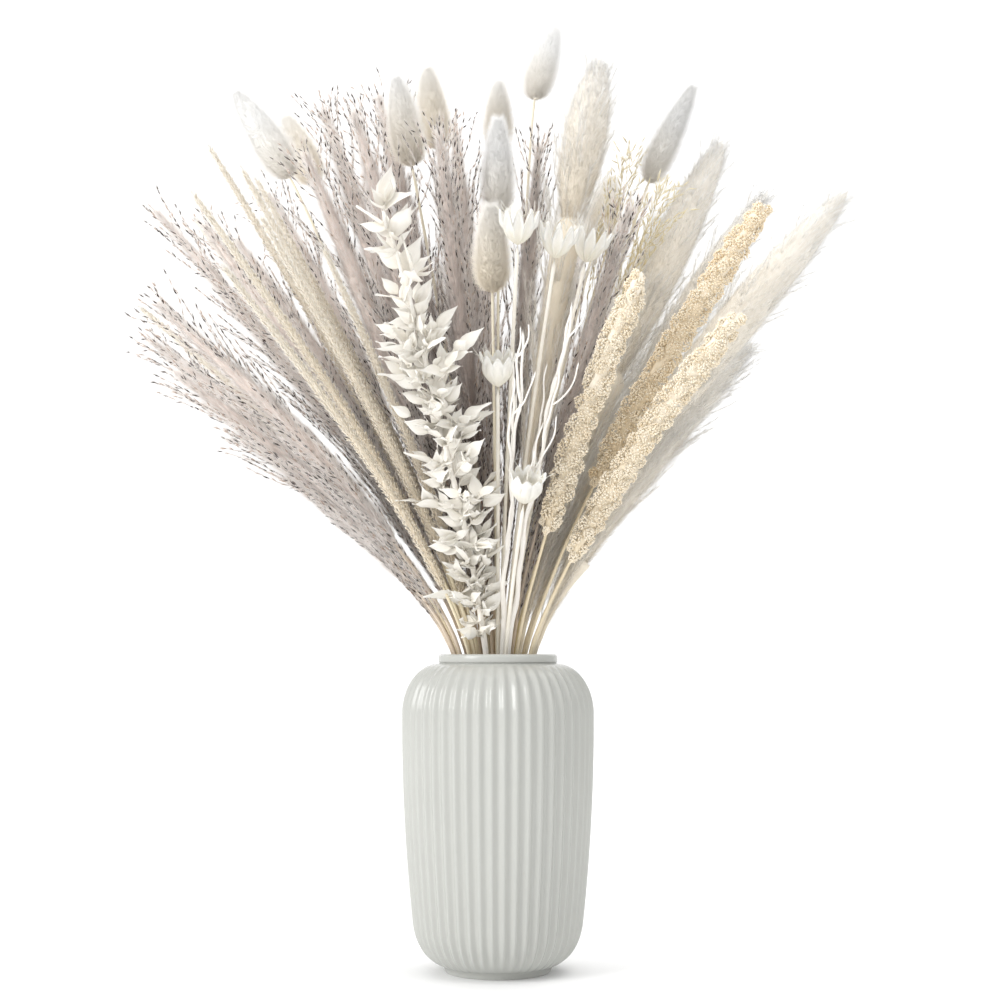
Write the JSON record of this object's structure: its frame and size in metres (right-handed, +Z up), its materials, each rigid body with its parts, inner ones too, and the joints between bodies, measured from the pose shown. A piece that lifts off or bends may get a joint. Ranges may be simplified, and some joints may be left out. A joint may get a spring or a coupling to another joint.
{
  "type": "bundle of dried reeds and grasses in a vase",
  "caption": "Bunch of dried reed plumes, foxtail spikes, bunny tails, pampas, millet, seed pods and papery leaves, standing in a round, ribbed, white glazed vase.",
  "frame": {"origin": "middle of the vase's foot, on the surface it stands on", "axes": "+Z up along the vase's axis; the bunch spreads wider along X than along Y, and its front is -Y"},
  "size_m": [0.363, 0.2603, 0.4969],
  "materials": {
    "glaze": "gloss",
    "reed": "matte",
    "foxtail": "matte",
    "bunny_tail": "matte",
    "pampas": "matte",
    "oat": "matte",
    "millet": "matte",
    "seed_pod": "matte",
    "twig": "matte",
    "leaf": "matte"
  },
  "bodies": {
    "root": {"vase": "glaze", "reed_plume_01": "reed", "reed_plume_02": "reed", "reed_plume_03": "reed", "reed_plume_04": "reed", "reed_plume_05": "reed", "reed_plume_06": "reed", "reed_plume_07": "reed", "reed_plume_08": "reed", "reed_plume_09": "reed", "reed_plume_10": "reed", "reed_plume_11": "reed", "reed_plume_12": "reed", "reed_plume_13": "reed", "reed_plume_14": "reed", "reed_plume_15": "reed", "reed_plume_16": "reed", "reed_plume_17": "reed", "reed_plume_18": "reed", "reed_plume_19": "reed", "foxtail_spike_01": "foxtail", "foxtail_spike_02": "foxtail", "foxtail_spike_03": "foxtail", "foxtail_spike_04": "foxtail", "foxtail_spike_05": "foxtail", "foxtail_spike_06": "foxtail", "foxtail_spike_07": "foxtail", "foxtail_spike_08": "foxtail", "foxtail_spike_09": "foxtail", "foxtail_spike_10": "foxtail", "bunny_tail_01": "bunny_tail", "bunny_tail_02": "bunny_tail", "bunny_tail_03": "bunny_tail", "bunny_tail_04": "bunny_tail", "bunny_tail_05": "bunny_tail", "bunny_tail_06": "bunny_tail", "bunny_tail_07": "bunny_tail", "bunny_tail_08": "bunny_tail", "bunny_tail_09": "bunny_tail", "bunny_tail_10": "bunny_tail", "pampas_plume_01": "pampas", "pampas_plume_02": "pampas", "pampas_plume_03": "pampas", "pampas_plume_04": "pampas", "pampas_plume_05": "pampas", "pampas_plume_06": "pampas", "pampas_plume_07": "pampas", "oat_head_01": "oat", "oat_head_02": "oat", "millet_spike_01": "millet", "millet_spike_02": "millet", "millet_spike_03": "millet", "nigella_pod_01": "seed_pod", "nigella_pod_02": "seed_pod", "nigella_pod_03": "seed_pod", "nigella_pod_04": "seed_pod", "nigella_pod_05": "seed_pod", "white_twig_01": "twig", "white_twig_02": "twig", "ruscus_branch": "leaf"}
  },
  "joints": []
}
